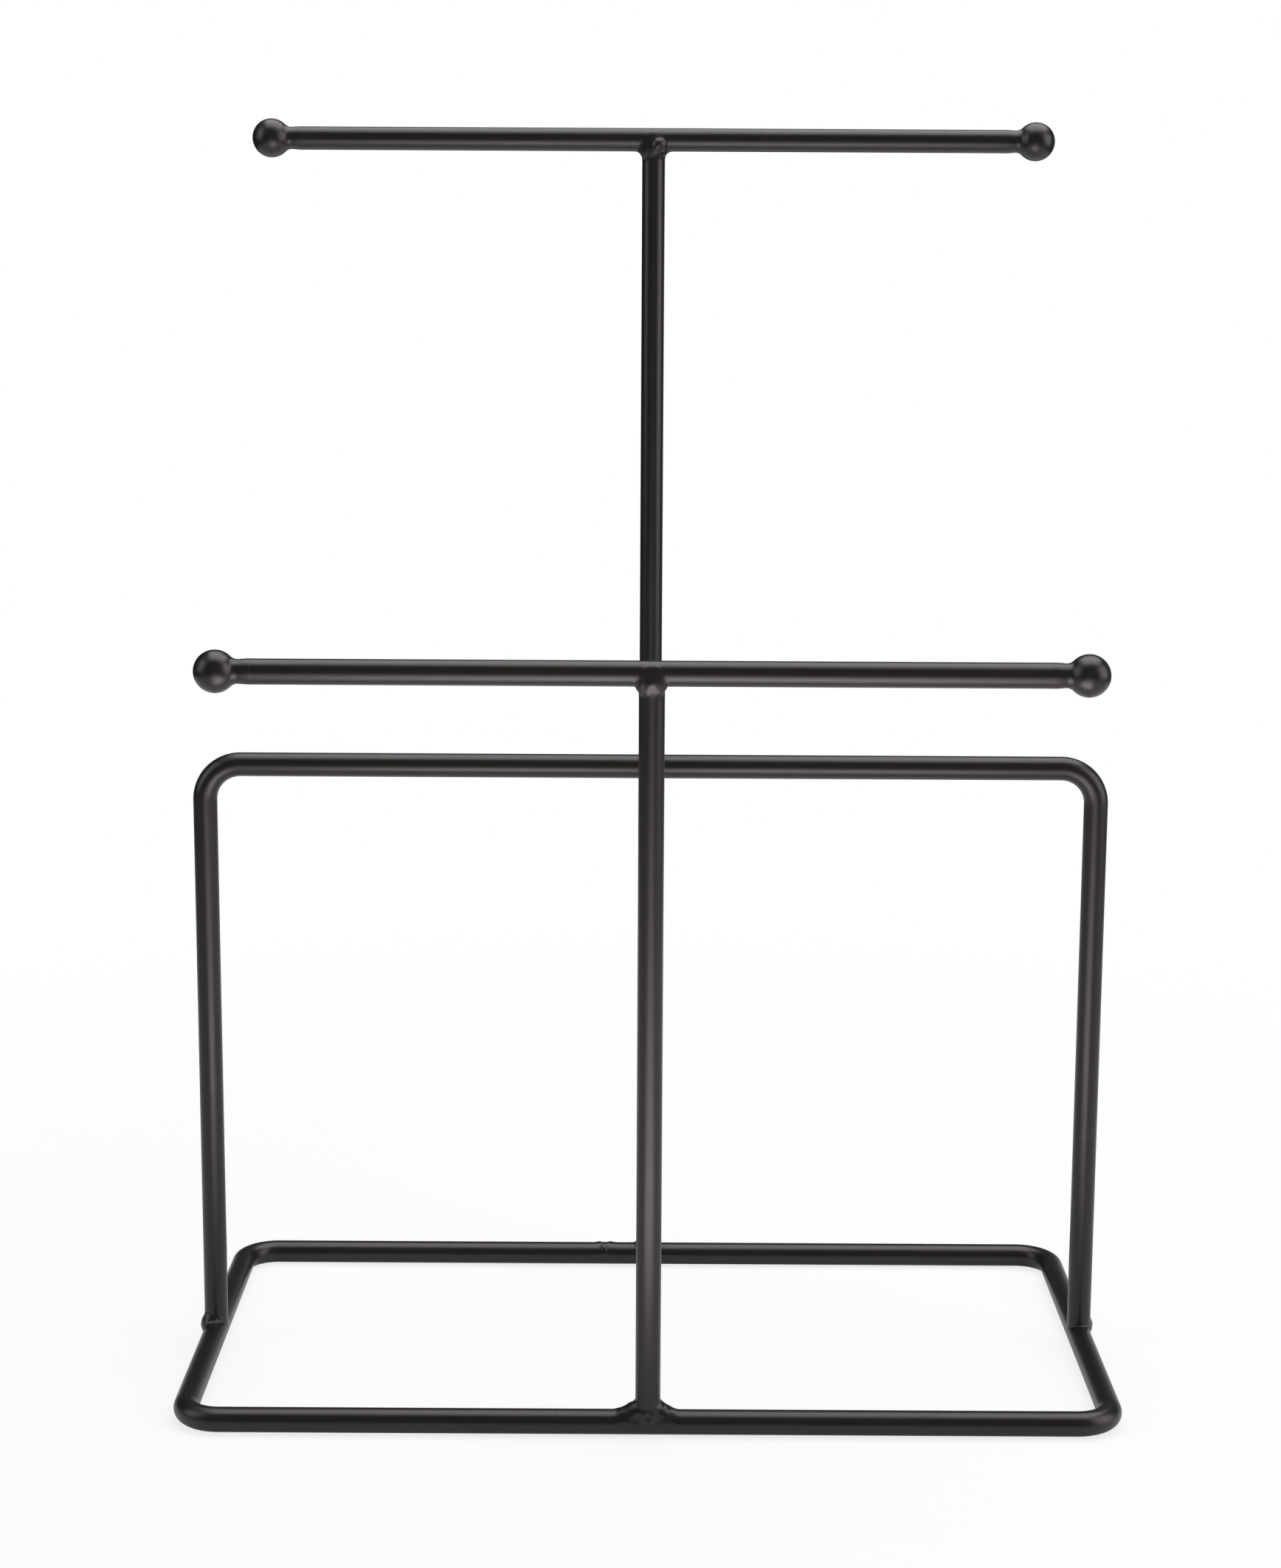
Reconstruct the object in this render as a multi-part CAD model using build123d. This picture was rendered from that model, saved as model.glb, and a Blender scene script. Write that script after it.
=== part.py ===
from build123d import *
import os

# Table-top valet stand of bent and welded round steel wire.
# Millimetres. +X is right, +Y is back, +Z is up. The origin is on the table, under the middle of the base.

# Driving dimensions

wire_diameter = 6.0
base_width = 230.0            # outside of the base loop, left to right
base_depth = 126.0            # outside of the base loop, front to back
base_bend_radius = 6.0        # inside of the base loop's bends
hoop_height = 155.0           # table to the top of the hoop
hoop_bend_radius = 6.0        # inside of the hoop's bends
lower_bar_height = 187.0      # table to the top of the front bar
lower_bar_span = 200.0        # between the front bar's ball centres
upper_bar_height = 311.0      # table to the top of the rear bar
upper_bar_span = 200.0        # between the rear bar's ball centres
ball_diameter = 10.0

# Joints between the wires

cope_depth = 2.0              # how far a wire's hollowed end reaches down the wire that it sits on
seam_offset = 12.0            # from the rear post to the base loop's butt seam, towards the left
seam_gap = 0.8                # between the two wire ends at that seam
neck_length = 3.5             # weld neck, from a bar's end to the flat on its ball
neck_undercut = 0.25          # how much thinner the neck is than the bar, on the radius

# Weld beads

seam_bead_length = 8.0
seam_bead_proud = 0.3         # thickness of the seam's bead over the wire
seam_bead_skirt = 1.0         # the seam's bead ends this far below the middle of the wire
run_inset = 0.5               # a leaning run of weld is this much narrower than the wires, on the radius
run_root = 1.5                # a leaning run goes this far into the wires at its ends
front_foot_left_run = 4.8     # along the front rail, from the post's surface
front_foot_right_run = 3.9
front_foot_rise = 2.4         # along the post, from the surface of the rail
rear_foot_run = 1.4
rear_foot_rise = 1.4
lower_bar_left_run = 2.0
lower_bar_right_run = 1.4
lower_bar_rise = 1.8
upper_bar_run = 2.2
upper_bar_rise = 2.2
hoop_lump_diameter = 6.4      # lump on the outer side of a hoop's foot
hoop_lump_rise = 2.5          # from the side rail's centreline up to the lump
hoop_lump_proud = 0.9

# Centrelines

wire_radius = wire_diameter / 2
ball_radius = ball_diameter / 2
ball_seat = (ball_radius**2 - wire_radius**2) ** 0.5
rail_z = wire_radius
side_rail_x = base_width / 2 - wire_radius
end_rail_y = base_depth / 2 - wire_radius
hoop_rail_z = hoop_height - wire_radius
lower_bar_z = lower_bar_height - wire_radius
upper_bar_z = upper_bar_height - wire_radius
wire_end_z = rail_z + wire_radius - cope_depth

left = Vector(-1, 0, 0)
right = Vector(1, 0, 0)
up = Vector(0, 0, 1)
down = Vector(0, 0, -1)


def rod(start, finish, radius):
    """Straight round bar between two points of its centreline."""
    run = Vector(*finish) - Vector(*start)
    return extrude(Plane(origin=start, z_dir=run) * Circle(radius), amount=run.length)


def bent_wire(points, inside_radius):
    """Round wire along straight runs joined by equal bends."""
    path = FilletPolyline(*points, radius=inside_radius + wire_radius)
    return sweep(Plane(origin=path @ 0, z_dir=path % 0) * Circle(wire_radius), path=path)


# Wires

def make_base_loop():
    """Rounded rectangle of one wire. Its ends face each other across the seam on the rear rail."""
    points = [
        (-seam_offset + seam_gap / 2, end_rail_y, rail_z),
        (side_rail_x, end_rail_y, rail_z),
        (side_rail_x, -end_rail_y, rail_z),
        (-side_rail_x, -end_rail_y, rail_z),
        (-side_rail_x, end_rail_y, rail_z),
        (-seam_offset - seam_gap / 2, end_rail_y, rail_z),
    ]
    return bent_wire(points, base_bend_radius)


def make_hoop(base_loop):
    """Upside-down U. Its hollowed ends sit on the middle of the side rails."""
    points = [
        (-side_rail_x, 0, wire_end_z),
        (-side_rail_x, 0, hoop_rail_z),
        (side_rail_x, 0, hoop_rail_z),
        (side_rail_x, 0, wire_end_z),
    ]
    return bent_wire(points, hoop_bend_radius) - base_loop


def make_post(post_y, bar_z, base_loop, bar):
    """Straight wire, hollowed at both ends to sit between a base rail and a bar."""
    top_z = bar_z - wire_radius + cope_depth
    return rod((0, post_y, wire_end_z), (0, post_y, top_z), wire_radius) - base_loop - bar


def make_bar(bar_y, bar_z, span):
    """Straight wire whose square ends stop at the weld necks."""
    half = span / 2 - ball_seat - neck_length
    return rod((-half, bar_y, bar_z), (half, bar_y, bar_z), wire_radius)


def make_ball(centre, inward):
    """Ball with a flat, as wide as the wire, that faces the bar."""
    crown = ThreePointArc((0, -ball_radius), (ball_radius, 0), (wire_radius, ball_seat))
    outline = Polyline(crown @ 1, (0, ball_seat), crown @ 0)
    ball = revolve(make_face(Plane.XZ * (crown + outline)), axis=Axis.Z)
    return Plane(origin=centre, z_dir=inward) * ball


# Weld beads

def make_neck_weld(centre, inward):
    """Butt weld between a ball's flat and the square end of a bar, a little thinner than the bar."""
    seat = centre + inward * ball_seat
    return rod(seat, seat + inward * neck_length, wire_radius - neck_undercut)


def make_seam_weld(base_loop):
    """Filled butt seam with a low bead over it, dressed off under the rail."""
    seam = Vector(-seam_offset, end_rail_y, rail_z)
    half = seam_bead_length / 2
    bead = rod(seam + left * half, seam + right * half, wire_radius + seam_bead_proud)
    underside = Pos(*seam) * Box(
        base_width, base_depth, wire_diameter, align=(Align.CENTER, Align.CENTER, Align.MAX)
    )
    fill = rod(seam + left * (seam_gap / 2), seam + right * (seam_gap / 2), wire_radius)
    return bead - Pos(0, 0, -seam_bead_skirt) * underside + fill - base_loop


def leaning_run(meeting, along, rise, run_length, rise_length):
    """Straight round run of weld metal that leans from one wire over to the wire that stands on it."""
    radius = wire_radius - run_inset
    toe = meeting + along * (wire_radius + run_length) + rise * wire_radius
    top = meeting + along * wire_radius + rise * (wire_radius + rise_length)
    outward = (along * rise_length + rise * run_length).normalized()
    root = (top - toe).normalized() * run_root
    return rod(toe - outward * radius - root, top - outward * radius + root, radius)


def make_foot_welds(rail_y, left_run, right_run, rise_length, base_loop, post):
    """Runs of weld on both sides of a post's foot."""
    meeting = Vector(0, rail_y, rail_z)
    runs = [(left, left_run), (right, right_run)]
    return [leaning_run(meeting, side, up, run, rise_length) - base_loop - post for side, run in runs]


def make_bar_welds(bar_y, bar_z, left_run, right_run, rise_length, bar, post):
    """Runs of weld under a bar, on both sides of its post."""
    meeting = Vector(0, bar_y, bar_z)
    runs = [(left, left_run), (right, right_run)]
    return [leaning_run(meeting, side, down, run, rise_length) - bar - post for side, run in runs]


def make_hoop_welds(base_loop, hoop):
    """Round lump on the outer side of each foot of the hoop, over the seam with the side rail."""
    radius = hoop_lump_diameter / 2
    middle = left * (side_rail_x + wire_radius + hoop_lump_proud - radius) + up * (rail_z + hoop_lump_rise)
    left_lump = Pos(*middle) * Sphere(radius) - base_loop - hoop
    return [left_lump, mirror(left_lump, about=Plane.YZ)]


# Assembly

base_loop = make_base_loop()
hoop = make_hoop(base_loop)
lower_bar = make_bar(-end_rail_y, lower_bar_z, lower_bar_span)
upper_bar = make_bar(end_rail_y, upper_bar_z, upper_bar_span)
front_post = make_post(-end_rail_y, lower_bar_z, base_loop, lower_bar)
rear_post = make_post(end_rail_y, upper_bar_z, base_loop, upper_bar)

nodes = {
    "base_loop": base_loop,
    "base_seam_weld": make_seam_weld(base_loop),
    "hoop": hoop,
    "hoop_foot_welds": Compound(make_hoop_welds(base_loop, hoop)),
    "front_post": front_post,
    "front_foot_welds": Compound(make_foot_welds(
        -end_rail_y, front_foot_left_run, front_foot_right_run, front_foot_rise, base_loop, front_post
    )),
    "rear_post": rear_post,
    "rear_foot_welds": Compound(make_foot_welds(
        end_rail_y, rear_foot_run, rear_foot_run, rear_foot_rise, base_loop, rear_post
    )),
    "lower_bar": lower_bar,
    "lower_bar_welds": Compound(make_bar_welds(
        -end_rail_y, lower_bar_z, lower_bar_left_run, lower_bar_right_run, lower_bar_rise, lower_bar, front_post
    )),
    "upper_bar": upper_bar,
    "upper_bar_welds": Compound(make_bar_welds(
        end_rail_y, upper_bar_z, upper_bar_run, upper_bar_run, upper_bar_rise, upper_bar, rear_post
    )),
}

bar_places = {
    "lower_bar": (-end_rail_y, lower_bar_z, lower_bar_span),
    "upper_bar": (end_rail_y, upper_bar_z, upper_bar_span),
}
for bar_name, (bar_y, bar_z, span) in bar_places.items():
    ends = [(side * (span / 2) + Vector(0, bar_y, bar_z), -side) for side in (left, right)]
    nodes[bar_name + "_balls"] = Compound([make_ball(centre, inward) for centre, inward in ends])
    nodes[bar_name + "_neck_welds"] = Compound([make_neck_weld(centre, inward) for centre, inward in ends])

os.makedirs("parts", exist_ok=True)
for node_name, shape in nodes.items():
    shape.label = node_name
    export_step(shape, os.path.join("parts", node_name + ".step"))
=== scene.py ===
"""Visual model of a table-top valet stand of bent, welded and powder-coated round wire."""

import math

import bmesh
import bpy
from bpy.props import FloatProperty, FloatVectorProperty, IntProperty, PointerProperty
from mathutils import Matrix, Vector, noise


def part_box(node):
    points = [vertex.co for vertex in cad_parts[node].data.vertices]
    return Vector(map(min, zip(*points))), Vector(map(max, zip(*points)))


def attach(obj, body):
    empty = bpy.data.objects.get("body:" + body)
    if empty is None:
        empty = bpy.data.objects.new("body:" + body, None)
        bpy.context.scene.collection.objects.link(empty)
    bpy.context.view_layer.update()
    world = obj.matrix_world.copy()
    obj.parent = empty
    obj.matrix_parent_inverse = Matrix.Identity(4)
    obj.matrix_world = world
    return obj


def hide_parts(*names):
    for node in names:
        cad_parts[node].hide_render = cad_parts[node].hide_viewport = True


bl_info = {
    "name": "Wire Valet Stand",
    "version": (1, 0, 0),
    "blender": (4, 5, 0),
    "location": "View3D > Sidebar > Valet Stand",
    "description": "Builds the looks of a table-top valet stand of bent and welded wire",
    "category": "Add Mesh",
}

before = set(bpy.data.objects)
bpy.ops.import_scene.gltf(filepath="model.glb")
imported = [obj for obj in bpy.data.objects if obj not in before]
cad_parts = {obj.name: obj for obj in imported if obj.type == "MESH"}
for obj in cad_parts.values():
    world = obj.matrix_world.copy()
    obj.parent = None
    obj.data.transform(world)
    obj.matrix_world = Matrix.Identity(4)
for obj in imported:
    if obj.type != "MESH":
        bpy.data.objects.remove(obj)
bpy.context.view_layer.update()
BODY = "root"
MM = 0.001
UP = Vector((0, 0, 1))
RIGHT = Vector((1, 0, 0))
BACK = Vector((0, 1, 0))
WHITE = (1, 1, 1, 1)
MERGE_DISTANCE = 0.0005 * MM


def middle_of(node):
    """Middle of a node's box, to a hundredth of a millimetre."""
    low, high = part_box(node)
    return Vector([round(value, 5) for value in (low + high) / 2])


def size_of(node):
    """Size of a node's box, to a tenth of a millimetre."""
    low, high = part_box(node)
    return Vector([round(value, 4) for value in high - low])


# Settings


def length(name, description, default):
    return FloatProperty(name=name, description=description, default=default, unit="LENGTH", precision=5)


def lengths(name, description, default):
    """Several lengths, given in millimetres."""
    return FloatVectorProperty(
        name=name,
        description=description,
        default=[value * MM for value in default],
        size=len(default),
        unit="LENGTH",
        precision=5,
    )


def share(name, description, default):
    return FloatProperty(name=name, description=description, default=default, subtype="FACTOR")


def colour(name, description, default):
    return FloatVectorProperty(
        name=name, description=description, default=default, size=3, subtype="COLOR", min=0, max=1
    )


def count(name, description, default, least):
    return IntProperty(name=name, description=description, default=default, min=least)


def pointer(kind, name, description):
    return PointerProperty(type=kind, name=name, description=description)


class StandWire(bpy.types.PropertyGroup):
    radius: length("Radius", "Radius of the wire", size_of("lower_bar").z / 2)
    bend_radius: length("Bend radius", "Radius of a bend's centreline", 9 * MM)
    lead: length("Lead", "Short ring spacing next to each bend", 0.4 * MM)
    seam_gap: length("Seam gap", "Between the two ends of the base's wire", 0.8 * MM)
    sides: count("Sides", "Faces around the wire", 48, 12)
    bend_steps: count("Bend steps", "Faces along a bend", 24, 4)


class StandBalls(bpy.types.PropertyGroup):
    radius: length("Radius", "Radius of a ball", size_of("lower_bar_balls").z / 2)
    waist: length("Waist", "Radius of a neck at its waist", 2.84 * MM)
    hollow: length("Hollow", "Radius of the hollow round a neck", 2.5 * MM)
    taper: length("Taper", "From a neck's waist to its end on the bar", 3.0 * MM)
    lap: length("Lap", "How far a neck stands over the bar", 0.02 * MM)
    sides: count("Sides", "Faces around a ball", 64, 12)
    steps: count("Steps", "Faces from a ball's pole to its neck", 30, 6)


def joint_settings(
    title,
    fillet,
    soften,
    lump,
    puddle=(0, 1, 0, 0, 0),
    gussets=(0, 0, 0, 0),
    pit=(0, 1, 0, 0),
):
    """A class with the settings of one welded joint, given in millimetres."""
    place = "how far up one wire and along the other"
    values = {
        "fillet": length("Fillet", "Width of the hollow between the two wires", fillet * MM),
        "soften": length("Soften", "Width over which lumps and runs melt into the wires", soften * MM),
        "lump": lengths("Lump", f"Round lump: radius, how far it stands out, and {place}", lump),
        "puddle": lengths("Puddle", f"Flat lump: radius, half depth, how far out, and {place}", puddle),
        "gussets": lengths("Gussets", "Leaning runs: left and right length, rise and radius", gussets),
        "pit": lengths("Pit", f"Pit in the weld: depth, width, and {place}", pit),
    }
    return type("Stand" + title, (bpy.types.PropertyGroup,), {"__annotations__": values})


StandFrontFoot = joint_settings(
    "FrontFoot",
    fillet=0.9,
    soften=0.7,
    lump=(2.5, 0.65, 2.0, 0),
    gussets=(4.4, 3.7, 2.4, 2.65),
    pit=(0.8, 0.7, 2.1, 0),
)
StandRearFoot = joint_settings("RearFoot", fillet=1.5, soften=0.9, lump=(2.6, 0.2, 1.2, 0))
StandLowerJoint = joint_settings(
    "LowerJoint",
    fillet=1.0,
    soften=0.6,
    lump=(2.4, 0.75, 1.9, 0),
    puddle=(3.8, 1.5, 0.4, 1.6, -0.15),
    gussets=(0.8, 0, 1.0, 2.3),
)
StandUpperJoint = joint_settings(
    "UpperJoint",
    fillet=2.2,
    soften=0.5,
    lump=(2.0, 1.2, 1.4, 1.3),
    puddle=(3.9, 1.5, 0.3, 1.75, -0.2),
    pit=(1.0, 0.6, 2.8, 1.9),
)
StandHoopFoot = joint_settings("HoopFoot", fillet=0.4, soften=0.9, lump=(2.9, 0.84, 1.9, -1.3))


class StandWelds(bpy.types.PropertyGroup):
    front_foot: pointer(StandFrontFoot, "Front foot", "Front post on the base")
    rear_foot: pointer(StandRearFoot, "Rear foot", "Rear post on the base")
    lower_bar: pointer(StandLowerJoint, "Lower bar", "Lower bar on the front post")
    upper_bar: pointer(StandUpperJoint, "Upper bar", "Upper bar on the rear post")
    hoop_foot: pointer(StandHoopFoot, "Hoop foot", "Hoop on the base, lumps outwards")
    margin: length("Margin", "How far a weld's feathered edge goes beyond it", 1.2 * MM)
    seam_length: length("Seam length", "Length of the base's butt weld", size_of("base_seam_weld").x)
    seam_proud: length("Seam proud", "Height of the base's butt weld over the wire", 0.25 * MM)
    sink: length("Sink", "How far a weld's edges go into the wires", 0.03 * MM)
    lift: length("Lift", "How far the rest of a weld lies over the wires", 0.012 * MM)
    unevenness: length("Unevenness", "Height of the waves in the weld metal", 0.14 * MM)
    wave: length("Wave", "Size of the waves in the weld metal", 1.25 * MM)
    cover: length("Cover", "Thickness of weld metal at which its waves are full", 0.3 * MM)
    sides: count("Sides", "Faces around a joint", 96, 12)
    steps: count("Steps", "Faces around a run's section", 48, 8)


class StandCoat(bpy.types.PropertyGroup):
    colour: colour("Colour", "Powder coat", (0.0058, 0.0049, 0.0036))
    worn: colour("Worn colour", "Powder coat where it is rubbed", (0.0150, 0.0126, 0.0099))
    steel: colour("Steel", "Bare steel where the base stands on the table", (0.24, 0.235, 0.23))
    wear: share("Wear", "How much of the worn colour rubbed places take", 0.5)
    cloudiness: share("Cloudiness", "How much of the worn colour the faint clouds take", 0.25)
    roughness: share("Roughness", "Roughness of the satin coat", 0.30)
    specular: share("Specular", "Strength of the coat's gloss", 0.46)
    sheen: colour("Sheen", "Tint of the coat's gloss", (1.0, 0.94, 0.935))
    peel: length("Orange peel", "Size of the coat's fine waves", 1.1 * MM)
    relief: length("Relief", "Height of the coat's fine waves", 0.009 * MM)


class StandStage(bpy.types.PropertyGroup):
    floor: colour("Floor", "Pale floor", (0.74, 0.74, 0.74))
    floor_size: length("Floor size", "Side of the square floor", 1.1)
    clear: share("Clear", "How white the camera sees the floor near the stand", 0.8)
    light: FloatProperty(name="Light", description="Level of all lamps", default=1.0, min=0)
    ambient: share("Ambient", "Level of the room's light", 0.03)


class StandSettings(bpy.types.PropertyGroup):
    wire: pointer(StandWire, "Wire", "The bent wires")
    balls: pointer(StandBalls, "Balls", "The bars' ball ends")
    welds: pointer(StandWelds, "Welds", "The welded joints")
    coat: pointer(StandCoat, "Coat", "The finish")
    stage: pointer(StandStage, "Stage", "Floor and light")


def settings():
    return bpy.context.scene.valet_stand


# Materials


def feed(tree, slot, value):
    """Links a socket to a slot of a node, or writes a plain value there."""
    if isinstance(value, Socket):
        tree.links.new(value.socket, slot)
    else:
        slot.default_value = value


class Socket:
    """A shader socket that adds Math nodes when it is used in an expression."""

    def __init__(self, tree, socket):
        self.tree = tree
        self.socket = socket

    def maths(self, operation, first, second):
        node = self.tree.nodes.new("ShaderNodeMath")
        node.operation = operation
        feed(self.tree, node.inputs[0], first)
        feed(self.tree, node.inputs[1], second)
        return Socket(self.tree, node.outputs[0])

    def __add__(self, other):
        return self.maths("ADD", self, other)

    def __radd__(self, other):
        return self.maths("ADD", other, self)

    def __sub__(self, other):
        return self.maths("SUBTRACT", self, other)

    def __rsub__(self, other):
        return self.maths("SUBTRACT", other, self)

    def __mul__(self, other):
        return self.maths("MULTIPLY", self, other)

    def __rmul__(self, other):
        return self.maths("MULTIPLY", other, self)


class Nodes:
    """A node tree that is written as expressions."""

    def __init__(self, tree):
        self.tree = tree
        tree.nodes.clear()

    def add(self, kind, options=None, inputs=None, output=0):
        """Adds a node, sets its options, then its sockets, and gives one of its outputs."""
        node = self.tree.nodes.new(kind)
        for name, value in (options or {}).items():
            if name == "stops":
                for stop, (place, grey) in zip(node.color_ramp.elements, value):
                    stop.position = place
                    stop.color = (grey, grey, grey, 1)
            else:
                setattr(node, name, value)
        for name, value in (inputs or {}).items():
            feed(self.tree, node.inputs[name], value)
        return Socket(self.tree, node.outputs[output]) if node.outputs else None

    def grain(self, place, scale, detail, roughness):
        values = {"Vector": place, "Scale": scale, "Detail": detail, "Roughness": roughness}
        return self.add("ShaderNodeTexNoise", inputs=values)

    def smooth(self, value, low, high, bottom=0.0, top=1.0):
        """Goes smoothly from bottom to top while a value goes from low to high."""
        values = {"Value": value, "From Min": low, "From Max": high, "To Min": bottom, "To Max": top}
        return self.add("ShaderNodeMapRange", {"interpolation_type": "SMOOTHSTEP"}, values)

    def mix(self, factor, first, second):
        """Mixes two colours."""
        values = {"Factor": factor, "A": first, "B": second}
        return self.add("ShaderNodeMix", {"data_type": "RGBA"}, values, output="Result")

    def mix_shaders(self, factor, first, second):
        return self.add("ShaderNodeMixShader", inputs={"Fac": factor, 1: first, 2: second})


def solid(value):
    """A colour with full opacity."""
    return (*value, 1)


# Material and lumpiness of the coat in each slot
COATS = {"wire_coat": ("satin_on_wire", 0.4), "weld_coat": ("satin_on_weld", 0.9)}

# Clouds and bare steel are this much duller than the coat, rubbed places this much glossier.
CLOUD_DULLNESS = 0.10
STEEL_DULLNESS = 0.08
RUB_GLOSS = 0.05
STEEL_METAL = 0.8

# The coat is rubbed to steel under these heights, along an edge that is this uneven.
SOLE_HEIGHTS = (0.22 * MM, 0.48 * MM)
SOLE_UNEVENNESS = 0.6 * MM

# Where rubbed places start and are full in their noise
RUB_STOPS = ((0.56, 0.0), (0.74, 1.0))
PEEL_STRENGTH = 0.35


def coat_material(name, lumpiness):
    """Satin powder coat with orange peel, faint clouds, rubbed places and bare steel underneath."""
    coat = settings().coat
    material = bpy.data.materials.new(name)
    material.use_nodes = True
    nodes = Nodes(material.node_tree)
    place = nodes.add("ShaderNodeTexCoord", output="Object")
    peel = nodes.grain(place, scale=1 / coat.peel, detail=2.0, roughness=0.45)
    lumps = nodes.grain(place, scale=0.3 / coat.peel, detail=3.0, roughness=0.55)
    cloud = nodes.grain(place, scale=38.0, detail=4.0, roughness=0.6)
    rub = nodes.grain(place, scale=150.0, detail=6.0, roughness=0.7)
    rubbed = nodes.add("ShaderNodeValToRGB", {"stops": RUB_STOPS}, {"Fac": rub})
    height = nodes.add("ShaderNodeSeparateXYZ", inputs={"Vector": place}, output="Z")
    sole = nodes.smooth(height + rub * SOLE_UNEVENNESS, *SOLE_HEIGHTS, bottom=1.0, top=0.0)
    wear = rubbed * coat.wear + cloud * coat.cloudiness
    paint = nodes.mix(wear, solid(coat.colour), solid(coat.worn))
    bump = nodes.add(
        "ShaderNodeBump",
        inputs={"Strength": PEEL_STRENGTH, "Distance": coat.relief, "Height": peel + lumps * lumpiness},
        output="Normal",
    )
    roughness = coat.roughness + cloud * CLOUD_DULLNESS - rubbed * RUB_GLOSS + sole * STEEL_DULLNESS
    surface = nodes.add(
        "ShaderNodeBsdfPrincipled",
        inputs={
            "Base Color": nodes.mix(sole, paint, solid(coat.steel)),
            "Roughness": roughness,
            "Metallic": sole * STEEL_METAL,
            "Specular IOR Level": coat.specular,
            "Specular Tint": solid(coat.sheen),
            "Normal": bump,
        },
    )
    nodes.add("ShaderNodeOutputMaterial", inputs={"Surface": surface})
    return material


def finish_of(slot):
    """The material of a slot, made once."""
    name, lumpiness = COATS[slot]
    return bpy.data.materials.get(name) or coat_material(name, lumpiness)


# Pieces


def add_piece(mesh, name, slot, node):
    """Turns a bmesh into a finished piece that stands for a node."""
    bmesh.ops.remove_doubles(mesh, verts=mesh.verts, dist=MERGE_DISTANCE)
    bmesh.ops.recalc_face_normals(mesh, faces=mesh.faces)
    for face in mesh.faces:
        face.smooth = True
    piece = add_object(mesh, name, finish_of(slot))
    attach(piece, BODY)
    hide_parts(node)


def add_object(mesh, name, material):
    """Turns a bmesh into an object at the origin."""
    data = bpy.data.meshes.new(name)
    mesh.to_mesh(data)
    mesh.free()
    data.materials.append(material)
    made = bpy.data.objects.new(name, data)
    bpy.context.scene.collection.objects.link(made)
    return made


def join(mesh, other):
    """Adds another bmesh to a bmesh."""
    bmesh.ops.recalc_face_normals(other, faces=other.faces)
    data = bpy.data.meshes.new("joined")
    other.to_mesh(data)
    other.free()
    mesh.from_mesh(data)
    bpy.data.meshes.remove(data)


def turned_to(direction):
    return direction.to_track_quat("Z", "Y").to_matrix().to_4x4()


def verts_of(made):
    return [item for item in made if isinstance(item, bmesh.types.BMVert)]


def edges_between(verts):
    """The edges that have both their ends among some vertices."""
    inside = set(verts)
    touching = dict.fromkeys(edge for vert in verts for edge in vert.link_edges)
    return [edge for edge in touching if inside.issuperset(edge.verts)]


class Wire:
    """A round wire that is drawn as runs and bends, from one end to the other."""

    def __init__(self, mesh, start, heading):
        self.mesh = mesh
        self.size = settings().wire
        self.tip = start.copy()
        self.heading = heading.copy()
        made = bmesh.ops.create_circle(
            mesh,
            segments=self.size.sides,
            radius=self.size.radius,
            matrix=Matrix.Translation(start) @ turned_to(heading),
        )
        self.verts = made["verts"]
        self.start = self.verts

    def reach(self, distance):
        made = bmesh.ops.extrude_edge_only(self.mesh, edges=edges_between(self.verts))
        self.verts = verts_of(made["geom"])
        self.tip += self.heading * distance
        bmesh.ops.translate(self.mesh, verts=self.verts, vec=self.heading * distance)

    def run(self, distance):
        """A straight run, with a short lead at both ends."""
        for part in (self.size.lead, distance - 2 * self.size.lead, self.size.lead):
            self.reach(part)

    def bend(self, axis):
        """A quarter bend about an axis."""
        centre = self.tip + axis.cross(self.heading) * self.size.bend_radius
        made = bmesh.ops.spin(
            self.mesh,
            geom=self.verts + edges_between(self.verts),
            cent=centre,
            axis=axis,
            angle=math.pi / 2,
            steps=self.size.bend_steps,
        )
        self.verts = verts_of(made["geom_last"])
        turn = Matrix.Rotation(math.pi / 2, 3, axis)
        self.tip = centre + turn @ (self.tip - centre)
        self.heading = turn @ self.heading


# Inner rings of a wire's closed end, as shares of its radius
END_RINGS = (0.7, 0.35)


def close_end(mesh, verts, across=None, seat=0.0, outward=None):
    """Closes a wire's end: square, or hollowed to sit on the wire that lies across it."""
    radius = settings().wire.radius
    middle = sum((vert.co for vert in verts), Vector()) / len(verts)
    edges = edges_between(verts)
    closed = list(verts)
    for edge in edges:
        edge.smooth = False
    for ring in END_RINGS:
        made = bmesh.ops.extrude_edge_only(mesh, edges=edges)
        inner = verts_of(made["geom"])
        factor = ring * radius / (inner[0].co - middle).length
        bmesh.ops.scale(mesh, verts=inner, vec=(factor,) * 3, space=Matrix.Translation(-middle))
        edges = edges_between(inner)
        closed += inner
    bmesh.ops.contextual_create(mesh, geom=edges)
    if across is None:
        return
    side = outward.cross(across)
    for vert in closed:
        offset = (vert.co - middle).dot(side)
        depth = math.sqrt(max(radius**2 - offset**2, 0))
        vert.co += outward * (seat - depth - vert.co.dot(outward))


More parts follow.
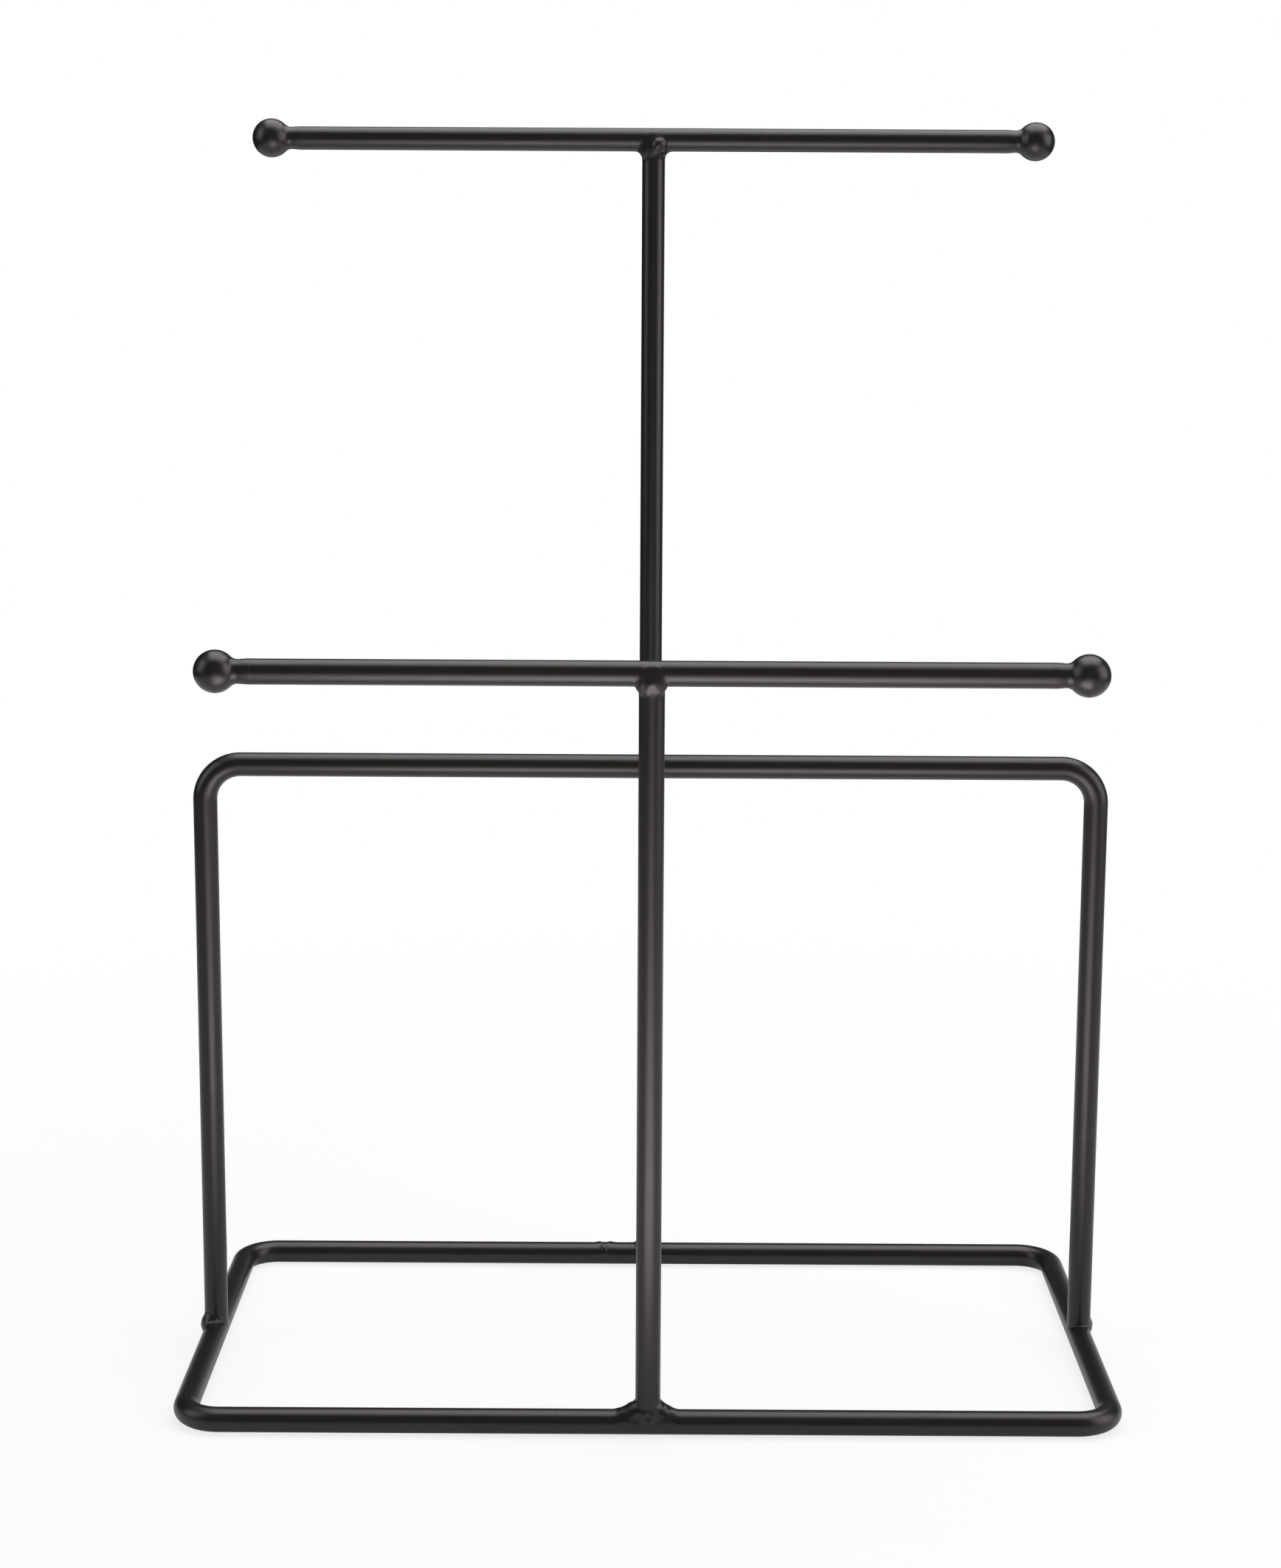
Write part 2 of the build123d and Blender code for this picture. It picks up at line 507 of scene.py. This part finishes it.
class STAND_OT_base_loop(bpy.types.Operator):
    """Base: one wire bent to a rounded rectangle"""

    bl_idname = "stand.base_loop"
    bl_label = "Base loop"

    def execute(self, context):
        wire = settings().wire
        seam_x = middle_of("base_seam_weld").x
        corner = size_of("base_loop") / 2
        half_x = corner.x - wire.radius
        half_y = corner.y - wire.radius
        mesh = bmesh.new()
        rail = Wire(mesh, Vector((seam_x + wire.seam_gap / 2, half_y, wire.radius)), RIGHT)
        rail.run(half_x - wire.bend_radius - rail.tip.x)
        for distance in (half_y, half_x, half_y):
            rail.bend(-UP)
            rail.run(2 * (distance - wire.bend_radius))
        rail.bend(-UP)
        rail.run(seam_x - wire.seam_gap / 2 - rail.tip.x)
        close_end(mesh, rail.start)
        close_end(mesh, rail.verts)
        add_piece(mesh, "base_loop_wire", "wire_coat", "base_loop")
        return {"FINISHED"}


class STAND_OT_hoop(bpy.types.Operator):
    """Hoop: one wire bent to an upside-down U that stands on the side rails"""

    bl_idname = "stand.hoop"
    bl_label = "Hoop"

    def execute(self, context):
        wire = settings().wire
        half_x = size_of("hoop").x / 2 - wire.radius
        top_z = round(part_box("hoop")[1].z, 4) - wire.radius
        foot_z = 2 * wire.radius
        mesh = bmesh.new()
        leg = Wire(mesh, Vector((-half_x, 0, foot_z)), UP)
        leg.run(top_z - wire.bend_radius - foot_z)
        leg.bend(BACK)
        leg.run(2 * (half_x - wire.bend_radius))
        leg.bend(BACK)
        leg.run(leg.tip.z - foot_z)
        close_end(mesh, leg.start, BACK, -wire.radius, -UP)
        close_end(mesh, leg.verts, BACK, -wire.radius, -UP)
        add_piece(mesh, "hoop_wire", "wire_coat", "hoop")
        return {"FINISHED"}


def foot_of(post):
    """Where a post's centreline meets the centreline of the base."""
    place = middle_of(post)
    place.z = settings().wire.radius
    return place


class STAND_OT_posts(bpy.types.Operator):
    """Posts: two straight wires, hollowed at both ends"""

    bl_idname = "stand.posts"
    bl_label = "Posts"

    def execute(self, context):
        wire = settings().wire
        for post, bar in (("front_post", "lower_bar"), ("rear_post", "upper_bar")):
            bar_z = middle_of(bar).z
            mesh = bmesh.new()
            rod = Wire(mesh, foot_of(post) + UP * wire.radius, UP)
            rod.run(bar_z - 3 * wire.radius)
            close_end(mesh, rod.start, RIGHT, -wire.radius, -UP)
            close_end(mesh, rod.verts, RIGHT, bar_z, UP)
            add_piece(mesh, post + "_wire", "wire_coat", post)
        return {"FINISHED"}


class STAND_OT_bars(bpy.types.Operator):
    """Bars: two straight wires with square ends"""

    bl_idname = "stand.bars"
    bl_label = "Bars"

    def execute(self, context):
        for bar in ("lower_bar", "upper_bar"):
            half = size_of(bar).x / 2
            mesh = bmesh.new()
            rod = Wire(mesh, middle_of(bar) - RIGHT * half, RIGHT)
            rod.run(2 * half)
            close_end(mesh, rod.start)
            close_end(mesh, rod.verts)
            add_piece(mesh, bar + "_wire", "wire_coat", bar)
        return {"FINISHED"}


def arc_from(mesh, vert, centre, axis, angle, steps):
    """Spins a point to an arc and gives the arc's last point."""
    made = bmesh.ops.spin(mesh, geom=[vert], cent=centre, axis=axis, angle=angle, steps=steps)
    return verts_of(made["geom_last"])[0]


def revolve(mesh, centre, axis, sides, merge):
    """Spins all of a bmesh once round an axis and merges where it meets itself."""
    whole = mesh.verts[:] + mesh.edges[:]
    bmesh.ops.spin(mesh, geom=whole, cent=centre, axis=axis, angle=math.tau, steps=sides, use_merge=True)
    bmesh.ops.remove_doubles(mesh, verts=mesh.verts, dist=merge)


def close_rims(mesh):
    """Closes the open ends of a turned shape with flat faces that have sharp rims."""
    rims = [edge for edge in mesh.edges if edge.is_boundary]
    bmesh.ops.holes_fill(mesh, edges=rims, sides=0)
    for edge in rims:
        edge.smooth = False


class STAND_OT_balls(bpy.types.Operator):
    """Balls: four balls, each blended into its bar by a waisted neck"""

    bl_idname = "stand.balls"
    bl_label = "Balls"

    tail_laps = 4  # a neck ends this many laps further along the bar, and twice as many deeper

    def execute(self, context):
        for bar in ("lower_bar", "upper_bar"):
            self.turn(bar, self.ball, bar + "_ball_pair", "wire_coat", bar + "_balls")
            self.turn(bar, self.neck, bar + "_necks", "weld_coat", bar + "_neck_welds")
        return {"FINISHED"}

    def turn(self, bar, draw, name, slot, node):
        """Makes a shape at both ends of a bar, turned from half its section."""
        ball = settings().balls
        half = size_of(bar + "_balls").x / 2 - ball.radius
        mesh = bmesh.new()
        for inward in (RIGHT, -RIGHT):
            centre = middle_of(bar) - inward * half
            shape = bmesh.new()
            draw(shape, centre, inward)
            revolve(shape, centre, inward, ball.sides, MERGE_DISTANCE)
            close_rims(shape)
            join(mesh, shape)
        add_piece(mesh, name, slot, node)

    def ball(self, shape, centre, inward):
        """An arc from the ball's pole to the flat that faces the bar."""
        ball = settings().balls
        seat = math.asin(settings().wire.radius / ball.radius)
        pole = shape.verts.new(centre - inward * ball.radius)
        arc_from(shape, pole, centre, inward.cross(UP), math.pi - seat, ball.steps)

    def neck(self, shape, centre, inward):
        """A hollow from the ball to its waist, then a gentle swelling over the end of the bar."""
        ball = settings().balls
        end = settings().wire.radius + ball.lap
        middle = ball.waist + ball.hollow
        waist_at = math.sqrt((ball.radius + ball.hollow) ** 2 - middle**2)
        flare = math.acos(middle / (ball.radius + ball.hollow))
        swell = 2 * math.atan((end - ball.waist) / ball.taper)
        crest = ball.taper / math.sin(swell) - ball.hollow
        side = inward.cross(UP)
        hollow = centre + inward * waist_at + UP * middle
        start = hollow + (Matrix.Rotation(-flare, 3, side) @ -UP) * ball.hollow
        last = arc_from(shape, shape.verts.new(start), hollow, side, flare + swell, ball.steps)
        below = centre + inward * (waist_at + ball.taper) + UP * (end - crest)
        last = arc_from(shape, last, below, -side, swell, ball.steps)
        tail = shape.verts.new(last.co + (inward - UP * 2) * (ball.lap * self.tail_laps))
        shape.edges.new((last, tail))


# A weld starts as a plain ring with this radius and this radius of its section, then takes its shape.
RING_RADIUS = 4.0
RING_SECTION = 1.0
RING_MERGE = 0.001


def weld_ring(axis):
    """A plain ring about an axis through the origin."""
    welds = settings().welds
    mesh = bmesh.new()
    across = axis.orthogonal().normalized()
    bmesh.ops.create_circle(
        mesh,
        segments=welds.steps,
        radius=RING_SECTION,
        matrix=Matrix.Translation(across * RING_RADIUS) @ turned_to(across.cross(axis)),
    )
    revolve(mesh, Vector(), axis, welds.sides, RING_MERGE)
    return mesh


def melted(first, second, width):
    """The smaller of two distances, rounded off where they are nearly the same."""
    near = max(width - abs(first - second), 0) / width if width > 0 else 0
    return min(first, second) - near * near * width / 4


def smooth_step(value):
    value = min(max(value, 0), 1)
    return value * value * (3 - 2 * value)


class Joint:
    """The weld metal round the foot of a wire that stands across another of the same size."""

    probe = 0.01 * MM  # step over which a slope is measured
    moves = 4  # moves of a point on its way to the surface
    least_slope = 0.2  # keeps those moves short where the slope fades
    rounds = 2  # how often the settled points are evened out and settled again
    evening = 0.5
    feather = 0.12  # share of the weld's width over which an edge sinks into the wires
    pit_share = 0.8  # most of the metal's thickness that a pit takes
    root_share = 0.8  # depth of the closed side inside the wires, as a share of the weld's reach
    root_depth = 0.6 * MM  # added to that depth

    def __init__(self, name, along, stand, front, seed):
        self.welds = settings().welds
        self.size = getattr(self.welds, name)
        self.radius = settings().wire.radius
        self.along = along
        self.stand = stand
        self.front = front
        self.seed = Vector((0, 0, seed))
        # Each lump has a start, a run from there, a radius, and that radius over its half depth.
        bulk, proud, climb, shift = self.size.lump
        self.lumps = [(self.seat(proud - bulk, climb, shift), Vector(), bulk, 1)]
        bulk, depth, proud, climb, shift = self.size.puddle
        if bulk > 0:
            self.lumps.append((self.seat(proud - depth, climb, shift), Vector(), bulk, bulk / depth))
        left, right, rise, bulk = self.size.gussets
        for side, run in ((-along, left), (along, right)):
            if run > 0:
                toe = side * (self.radius + run) + stand * self.radius
                top = side * self.radius + stand * (self.radius + rise)
                inward = -(side * rise + stand * run).normalized() * bulk
                self.lumps.append((toe + inward, top - toe, bulk, 1))

    def seat(self, proud, climb, shift):
        """A point by its distance out from the wires' fronts, up one wire and along the other."""
        return self.front * (self.radius + proud) + self.stand * climb + self.along * shift

    def wires(self, place):
        """Distances to the wire that lies and the wire that stands, and how square they meet."""
        lying = place - self.along * place.dot(self.along)
        standing = place - self.stand * max(place.dot(self.stand), 0)
        square = 1 - lying.normalized().dot(standing.normalized())
        return lying.length - self.radius, standing.length - self.radius, square

    def distance(self, place):
        """Distance to the weld's surface, without its pit."""
        lying, standing, square = self.wires(place)
        metal = melted(lying, standing, self.size.fillet * min(square, 1))
        for start, run, bulk, flat in self.lumps:
            offset = place - start
            if run.length:
                offset -= run * min(max(offset.dot(run) / run.length_squared, 0), 1)
            offset += self.front * (offset.dot(self.front) * (flat - 1))
            metal = melted(metal, offset.length - bulk, self.size.soften)
        cover = smooth_step(min(lying, standing) / self.welds.cover)
        wave = noise.noise(place / self.welds.wave + self.seed)
        return metal - cover * self.welds.unevenness * wave

    def dent(self, place):
        """How deep the pit is at a point of the weld's surface. It stays clear of the wires."""
        if place.dot(self.front) < 0:
            return 0
        lying, standing, _ = self.wires(place)
        depth, width, climb, shift = self.size.pit
        away = Vector((place.dot(self.stand) - climb, place.dot(self.along) - shift)).length / width
        return min(depth * math.exp(-away * away), self.pit_share * max(min(lying, standing), 0))

    def settle(self, place, height):
        """Moves a point to a height over the weld's surface, then into its pit."""
        for _ in range(self.moves):
            here = self.distance(place)
            ahead = [self.distance(place + way * self.probe) for way in (RIGHT, BACK, UP)]
            slope = Vector([(value - here) / self.probe for value in ahead])
            place = place - slope * ((here - height) / max(slope.length_squared, self.least_slope))
        return place - slope.normalized() * self.dent(place)

    def reach(self, cosine, sine):
        """How far the weld's edge goes up the standing wire and out along the lying one."""
        left, right, rise, _ = self.size.gussets
        bulk, _, climb, _ = self.size.lump
        if self.size.puddle[0] > bulk:
            bulk, _, _, climb, _ = self.size.puddle
        margin = self.welds.margin
        edge = self.size.fillet + margin
        up, out = rise + edge, (right if cosine > 0 else left) + edge
        if sine > 0:
            end_up, end_out = climb + bulk + margin, max(bulk - climb, 0) + margin
        else:
            end_up, end_out = edge, margin
        return up * cosine**2 + end_up * sine**2, out * cosine**2 + end_out * sine**2

    def collar(self, middle):
        """A ring round the joint, settled on the weld's surface outside and closed inside the wires."""
        radius, along, stand, front = self.radius, self.along, self.stand, self.front
        lift, sink = self.welds.lift, self.welds.sink
        mesh = weld_ring(stand)
        heights = {}
        for vert in mesh.verts:
            flat = vert.co - stand * vert.co.dot(stand)
            section = math.atan2(vert.co.dot(stand), flat.length - RING_RADIUS)
            cosine = flat.dot(along) / flat.length
            sine = max(-1, min(1, flat.dot(front) / flat.length))
            up, out = self.reach(cosine, sine)
            spoke = along * cosine + front * sine
            corner = spoke * radius + stand * (radius * abs(cosine))
            top = corner + stand * up
            turn = math.asin(sine) + out / radius * sine
            round_wire = front * math.sin(turn) + stand * math.cos(turn)
            toe = along * (cosine * (radius + out)) + round_wire * radius
            climb = 0.5 + section / math.pi
            outside = abs(section) <= math.pi / 2
            if not outside:
                climb = math.copysign(1, section) + 0.5 - section / math.pi
                inward = -(spoke + stand * abs(cosine)).normalized()
                corner += inward * (self.root_share * max(up, out) + self.root_depth)
            drop = 1 - climb
            vert.co = toe * drop**2 + corner * (2 * drop * climb) + top * climb**2
            if outside:
                inner = smooth_step(min(climb, drop) / self.feather)
                heights[vert] = lift * inner - sink * (1 - inner)
        for vert, height in heights.items():
            vert.co = self.settle(vert.co, height)
        loose = [vert for vert, height in heights.items() if height > -sink]
        for _ in range(self.rounds):
            bmesh.ops.smooth_vert(
                mesh, verts=loose, factor=self.evening, use_axis_x=True, use_axis_y=True, use_axis_z=True
            )
            for vert in loose:
                vert.co = self.settle(vert.co, heights[vert])
        bmesh.ops.translate(mesh, verts=mesh.verts, vec=middle)
        return mesh


class STAND_OT_post_welds(bpy.types.Operator):
    """Post welds: weld metal round both ends of the posts"""

    bl_idname = "stand.post_welds"
    bl_label = "Post welds"

    def execute(self, context):
        places = {
            "front_foot": (foot_of("front_post"), UP),
            "rear_foot": (foot_of("rear_post"), UP),
            "lower_bar": (middle_of("lower_bar"), -UP),
            "upper_bar": (middle_of("upper_bar"), -UP),
        }
        for seed, (joint, (middle, stand)) in enumerate(places.items()):
            mesh = Joint(joint, RIGHT, stand, -BACK, seed).collar(middle)
            add_piece(mesh, joint + "_collar", "weld_coat", joint + "_welds")
        return {"FINISHED"}


class STAND_OT_hoop_welds(bpy.types.Operator):
    """Hoop welds: a lump on the outer side of each foot of the hoop"""

    bl_idname = "stand.hoop_welds"
    bl_label = "Hoop welds"

    def execute(self, context):
        radius = settings().wire.radius
        half_x = size_of("hoop").x / 2 - radius
        mesh = bmesh.new()
        for seed, outward in ((7, -RIGHT), (8, RIGHT)):
            middle = outward * half_x + UP * radius
            join(mesh, Joint("hoop_foot", BACK * -outward.x, UP, outward, seed).collar(middle))
        add_piece(mesh, "hoop_foot_collars", "weld_coat", "hoop_foot_welds")
        return {"FINISHED"}


class STAND_OT_seam_weld(bpy.types.Operator):
    """Seam weld: low bead over the butt seam of the base loop"""

    bl_idname = "stand.seam_weld"
    bl_label = "Seam weld"

    flat_level = 0.35  # height of the bead away from its ridges, as a share of theirs
    waviness = 0.25  # how much its waves change that share
    waves_round, waves_along = 1.6, 1.2  # how close its waves lie round the wire and along it
    ridge_width = 0.55 * MM
    ridge_spread = 1.6 * MM  # how fast the two ridges part, going round the wire
    ridge_meeting = -0.75  # where they meet, from -1 at the wire's front to 1 at its back
    skirt = 0.4  # the bead fades out this far under the wire's middle, as a share of its radius

    def execute(self, context):
        welds = settings().welds
        radius = settings().wire.radius
        middle = middle_of("base_seam_weld")
        middle.y = size_of("base_loop").y / 2 - radius
        middle.z = radius
        half = welds.seam_length / 2
        mesh = weld_ring(RIGHT)
        for vert in mesh.verts:
            spoke = vert.co - RIGHT * vert.co.x
            direction = spoke.normalized()
            section = math.atan2(vert.co.x, spoke.length - RING_RADIUS)
            across, outer = math.sin(section), math.cos(section)
            if outer > 0:
                depth = (self.height(direction, across, half) + welds.sink) * outer**2
            else:
                depth = outer * MM
            vert.co = middle + RIGHT * (half * across) + direction * (radius - welds.sink + depth)
        add_piece(mesh, "base_seam_bead", "weld_coat", "base_seam_weld")
        return {"FINISHED"}

    def height(self, direction, across, half):
        """Height of the bead over the wire: low waves, and two ridges that meet on its front."""
        wave = noise.noise(direction * self.waves_round + RIGHT * across * self.waves_along)
        level = self.flat_level + self.waviness * wave
        for slope in (-1, 1):
            ridge_at = slope * (direction.y - self.ridge_meeting) * self.ridge_spread
            away = (across * half - ridge_at) / self.ridge_width
            level += math.exp(-away * away)
        return settings().welds.seam_proud * level * smooth_step(direction.z + self.skirt)


# Stage

# Each lamp's place and target, its width and height, all in metres, and its radiance
LAMPS = {
    "top_softbox": ((0.22, 0.22, 1.25), (0.22, 0.12, 0.1), (1.45, 1.24), 3.7),
    "near_bounce": ((0.01, -0.26, 0.004), (0.01, -0.26, 1.0), (0.23, 0.21), 4.8),
    "far_bounce": ((0.01, -0.75, 0.004), (0.01, -0.75, 1.0), (0.40, 0.75), 1.7),
    "front_card": ((0.0, -1.15, 0.62), (0.0, 0.0, 0.05), (1.4, 0.45), 0.22),
    "left_softbox": ((-1.00, -0.28, 0.565), (0.0, 0.0, 0.22), (0.65, 0.77), 1.9),
    "right_softbox": ((1.05, -0.30, 0.47), (0.0, 0.0, 0.22), (0.9, 0.9), 2.7),
    "left_card": ((-0.85, -0.15, 1.0), (0.0, 0.0, 0.05), (0.8, 0.6), 0.6),
    "right_card": ((0.95, -0.40, 0.95), (0.0, 0.0, 0.05), (0.7, 0.6), 0.6),
}

# The camera: its place, its angles in radians, its focal length in pixels and the picture's height
CAMERA_PLACE = Vector((-2.12, -717.57, 277.18)) * MM
CAMERA_PITCH, CAMERA_YAW, CAMERA_ROLL = 0.1788, -0.0006, -0.0052
FOCAL_PIXELS = 3933.57
PICTURE_HEIGHT = 2125
SENSOR_HEIGHT = 36.0

# The room is pale behind the stand in gloss: how pale on the left, how much more on the right, and
# where in a ray's direction it changes across, in depth and in the square of the height.
PALE_LEFT, PALE_GAIN = 0.12, 0.38
PALE_ACROSS = (-0.35, 0.45)
PALE_DEPTH = (0.55, 0.95)
PALE_HEIGHT = (0.07, 0.01)

# The floor lies this far under the stand, gets whiter between these distances, and shows some of
# that white in gloss.
FLOOR_DROP = 0.05 * MM
FLOOR_FADE = (0.15, 0.5)
FLOOR_IN_GLOSS = 0.35


class STAND_OT_stage(bpy.types.Operator):
    """Stage: pale floor, soft light and the camera"""

    bl_idname = "stand.stage"
    bl_label = "Stage"

    def execute(self, context):
        self.world()
        self.floor()
        self.lamps()
        self.camera()
        context.scene.view_settings.view_transform = "Standard"
        return {"FINISHED"}

    def rays(self, nodes):
        """Whether a ray comes straight from the camera, from gloss or through glass."""
        names = ("Is Camera Ray", "Is Glossy Ray", "Is Transmission Ray")
        return [nodes.add("ShaderNodeLightPath", output=name) for name in names]

    def world(self):
        """A dim room, white for the camera. In gloss it is pale behind the stand, more on the right."""
        world = bpy.data.worlds.new("room")
        bpy.context.scene.world = world
        world.use_nodes = True
        nodes = Nodes(world.node_tree)
        camera, gloss, glass = self.rays(nodes)
        direction = nodes.add("ShaderNodeTexCoord", output="Generated")
        across, depth, height = [
            nodes.add("ShaderNodeSeparateXYZ", inputs={"Vector": direction}, output=axis) for axis in "XYZ"
        ]
        level = PALE_LEFT + PALE_GAIN * nodes.smooth(across, *PALE_ACROSS)
        behind = nodes.smooth(depth, *PALE_DEPTH) * nodes.smooth(height * height, *PALE_HEIGHT)
        ambient = settings().stage.ambient
        dim = nodes.add("ShaderNodeBackground", inputs={"Color": WHITE, "Strength": ambient})
        white = nodes.add("ShaderNodeBackground", inputs={"Color": WHITE, "Strength": 1.0})
        shown = nodes.mix_shaders(camera + glass + gloss * (behind * level), dim, white)
        nodes.add("ShaderNodeOutputWorld", inputs={"Surface": shown})

    def floor(self):
        """A pale matt floor, just under the stand, that the camera sees whiter further away."""
        stage = settings().stage
        material = bpy.data.materials.new("pale_floor")
        material.use_nodes = True
        nodes = Nodes(material.node_tree)
        camera, gloss, glass = self.rays(nodes)
        place = nodes.add("ShaderNodeTexCoord", output="Object")
        distance = nodes.add(
            "ShaderNodeVectorMath", {"operation": "LENGTH"}, {"Vector": place}, output="Value"
        )
        far = nodes.smooth(distance, *FLOOR_FADE, bottom=stage.clear, top=1.0)
        matt = nodes.add("ShaderNodeBsdfDiffuse", inputs={"Color": solid(stage.floor)})
        white = nodes.add("ShaderNodeEmission", inputs={"Color": WHITE, "Strength": 1.0})
        shown = nodes.mix_shaders((camera + FLOOR_IN_GLOSS * gloss + glass) * far, matt, white)
        nodes.add("ShaderNodeOutputMaterial", inputs={"Surface": shown})
        mesh = bmesh.new()
        bmesh.ops.create_grid(mesh, x_segments=1, y_segments=1, size=stage.floor_size / 2)
        bmesh.ops.translate(mesh, verts=mesh.verts, vec=-UP * FLOOR_DROP)
        floor = add_object(mesh, "floor", material)

    def lamps(self):
        for name, (place, target, size, radiance) in LAMPS.items():
            data = bpy.data.lights.new(name, "AREA")
            data.shape = "RECTANGLE"
            data.size, data.size_y = size
            data.energy = radiance * settings().stage.light * math.pi * size[0] * size[1]
            lamp = bpy.data.objects.new(name, data)
            lamp.location = place
            lamp.rotation_euler = (Vector(target) - Vector(place)).to_track_quat("-Z", "Y").to_euler()
            lamp.visible_camera = False
            bpy.context.scene.collection.objects.link(lamp)

    def camera(self):
        flat = Vector((math.sin(CAMERA_YAW), math.cos(CAMERA_YAW), 0))
        ahead = flat * math.cos(CAMERA_PITCH) - UP * math.sin(CAMERA_PITCH)
        level = Vector((math.cos(CAMERA_YAW), -math.sin(CAMERA_YAW), 0))
        below = ahead.cross(level)
        right = level * math.cos(CAMERA_ROLL) + below * math.sin(CAMERA_ROLL)
        down = below * math.cos(CAMERA_ROLL) - level * math.sin(CAMERA_ROLL)
        data = bpy.data.cameras.new("camera")
        data.sensor_fit = "VERTICAL"
        data.sensor_height = SENSOR_HEIGHT
        data.lens = FOCAL_PIXELS * SENSOR_HEIGHT / PICTURE_HEIGHT
        data.clip_start = 0.01
        camera = bpy.data.objects.new("camera", data)
        turn = Matrix((right, -down, -ahead)).transposed().to_4x4()
        camera.matrix_world = Matrix.Translation(CAMERA_PLACE) @ turn
        bpy.context.scene.collection.objects.link(camera)
        bpy.context.scene.camera = camera


class STAND_PT_panel(bpy.types.Panel):
    """Lists the stand's pieces and its settings"""

    bl_idname = "STAND_PT_panel"
    bl_label = "Valet Stand"
    bl_space_type = "VIEW_3D"
    bl_region_type = "UI"
    bl_category = "Valet Stand"

    def draw(self, context):
        for operator in OPERATORS:
            self.layout.operator(operator.bl_idname)
        draw_settings(self.layout, settings())


def draw_settings(layout, group):
    """Lists a group's values, with a box for each group inside it."""
    for name in group.__annotations__:
        value = getattr(group, name)
        if isinstance(value, bpy.types.PropertyGroup):
            box = layout.box()
            box.label(text=group.bl_rna.properties[name].name)
            draw_settings(box, value)
        else:
            layout.prop(group, name)


GROUPS = (
    StandFrontFoot,
    StandRearFoot,
    StandLowerJoint,
    StandUpperJoint,
    StandHoopFoot,
    StandWire,
    StandBalls,
    StandWelds,
    StandCoat,
    StandStage,
    StandSettings,
)
OPERATORS = (
    STAND_OT_base_loop,
    STAND_OT_hoop,
    STAND_OT_posts,
    STAND_OT_bars,
    STAND_OT_balls,
    STAND_OT_post_welds,
    STAND_OT_hoop_welds,
    STAND_OT_seam_weld,
    STAND_OT_stage,
)
CLASSES = GROUPS + OPERATORS + (STAND_PT_panel,)


def register():
    for item in CLASSES:
        bpy.utils.register_class(item)
    bpy.types.Scene.valet_stand = pointer(StandSettings, "Valet stand", "Sizes and colours of the stand")


def unregister():
    del bpy.types.Scene.valet_stand
    for item in reversed(CLASSES):
        bpy.utils.unregister_class(item)


def main():
    register()
    bpy.ops.stand.base_loop()
    bpy.ops.stand.hoop()
    bpy.ops.stand.posts()
    bpy.ops.stand.bars()
    bpy.ops.stand.balls()
    bpy.ops.stand.post_welds()
    bpy.ops.stand.hoop_welds()
    bpy.ops.stand.seam_weld()
    bpy.ops.stand.stage()


if __name__ == "__main__":
    main()
